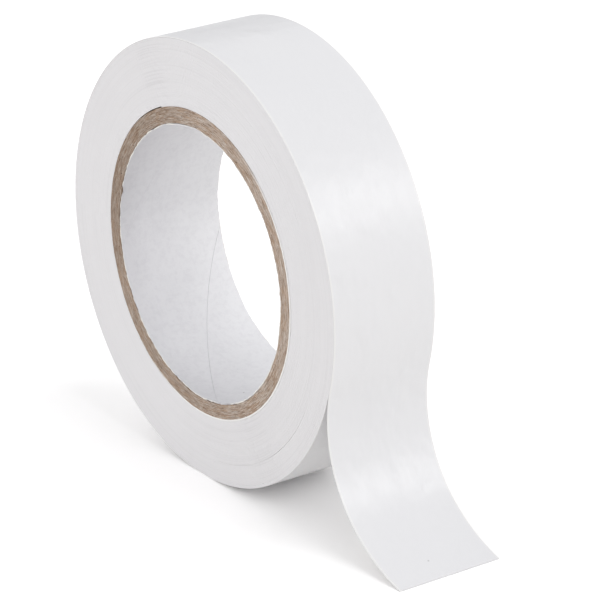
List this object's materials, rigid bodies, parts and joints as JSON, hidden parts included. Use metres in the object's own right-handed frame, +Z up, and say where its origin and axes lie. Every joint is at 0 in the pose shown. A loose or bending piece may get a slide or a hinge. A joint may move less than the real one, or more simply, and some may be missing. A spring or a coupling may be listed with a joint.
{
  "type": "roll of electrical tape",
  "caption": "Roll of white electrical tape on a spirally wound board core, standing on its rim, with a free end that peels away from the roll.",
  "frame": {"origin": "middle of the foot, where the outermost turn lies flat on the surface below, under the roll's axis", "axes": "+Y along the roll's axis, +Z up, +X towards the free end of the tape"},
  "size_m": [0.0754, 0.0164, 0.0614],
  "materials": {
    "tape": "satin",
    "liner_paper": "matte",
    "board": "matte"
  },
  "bodies": {
    "roll": {"core_liner": "liner_paper", "core_ply_1": "board", "core_ply_2": "board", "core_ply_3": "board", "core_ply_4": "board", "core_ply_5": "board", "wound_pack": "tape", "outer_turn": "tape"},
    "tail": {"tape_tail": "tape"}
  },
  "joints": [
    {"name": "tail_peel", "type": "hinge", "parent": "roll", "child": "tail", "pos_m": [0.02974, 0, 0.02245], "axis": [0, -1, 0], "range_deg": [0, 135]}
  ]
}
